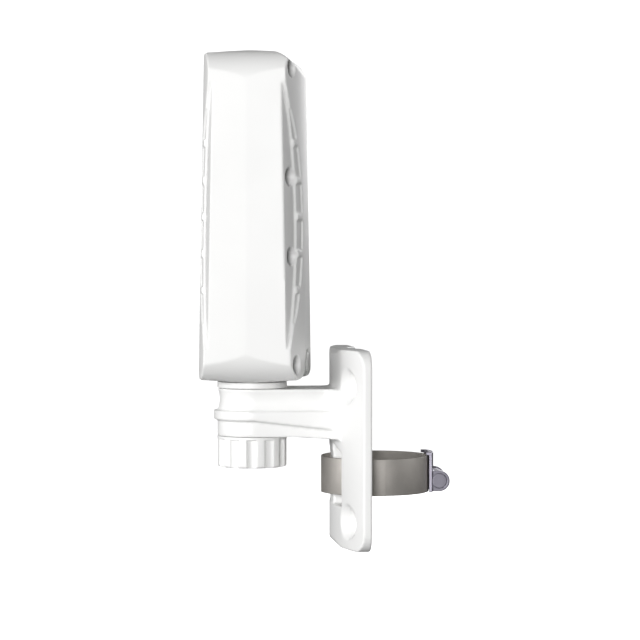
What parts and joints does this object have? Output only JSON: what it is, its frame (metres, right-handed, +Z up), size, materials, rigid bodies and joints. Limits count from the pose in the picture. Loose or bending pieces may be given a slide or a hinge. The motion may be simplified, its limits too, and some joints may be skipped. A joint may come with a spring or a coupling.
{
  "type": "outdoor directional panel antenna",
  "caption": "Slim weatherproof panel antenna in a crowned two-shell housing, swivelling above a short arm on a crowned mast plate with a worm-drive band.",
  "frame": {"origin": "on the mast's axis, at the clamp band's mid-height", "axes": "+Z up the mast; the arm and the antenna's view run along -Y; +X across the bracket plate"},
  "size_m": [0.084, 0.1117, 0.2153],
  "materials": {
    "white_shell": "fine satin moulding",
    "white_bracket": "fine satin moulding",
    "band_steel": "rolled strip",
    "screw_steel": "zinc plated",
    "dark_rubber": "matt",
    "board_green": "solder mask",
    "tin_plate": "tin plated",
    "reflector_alu": "plain sheet",
    "radiator_brass": "plain sheet",
    "spacer_nylon": "moulded"
  },
  "bodies": {
    "mount": {"bracket": "white_bracket", "friction_washer": "dark_rubber", "clamp_band": "band_steel", "clamp_housing": "screw_steel"},
    "antenna": {"front_cover": "white_shell", "rear_cover": "white_shell", "housing_gasket": "dark_rubber", "cover_screws": "screw_steel", "antenna_board": "board_green", "patch_radiators": "radiator_brass", "reflector": "reflector_alu", "board_spacers": "spacer_nylon", "main_board": "board_green", "shield_cans": "tin_plate", "board_screws": "screw_steel", "cable_jack": "tin_plate", "inlet_gland": "white_shell", "swivel_neck": "white_shell", "neck_stud": "screw_steel"},
    "knob_carrier": {"lock_washer": "screw_steel"},
    "knob": {"lock_knob": "white_shell", "knob_insert": "radiator_brass"},
    "worm": {"clamp_screw": "screw_steel"}
  },
  "joints": [
    {"name": "antenna_pan", "type": "hinge", "parent": "mount", "child": "antenna", "pos_m": [0, -0.0602, 0.04], "axis": [0, 0, 1], "range_deg": [-47.5, 72.5]},
    {"name": "knob_travel", "type": "slide", "parent": "mount", "child": "knob_carrier", "axis": [0, 0, -1], "range_m": [0, 0.0026]},
    {"name": "knob_turn", "type": "hinge", "parent": "knob_carrier", "child": "knob", "pos_m": [0, -0.0602, 0.01], "axis": [0, 0, -1], "range_deg": [0, 720]},
    {"name": "worm_turn", "type": "hinge", "parent": "mount", "child": "worm", "pos_m": [0, 0.0221, -0.00325], "axis": [-1, 0, 0], "continuous": true}
  ],
  "couplings": [
    {"joint": "knob_travel", "follows": "knob_turn", "m_per_rad": 0.00019894}
  ]
}
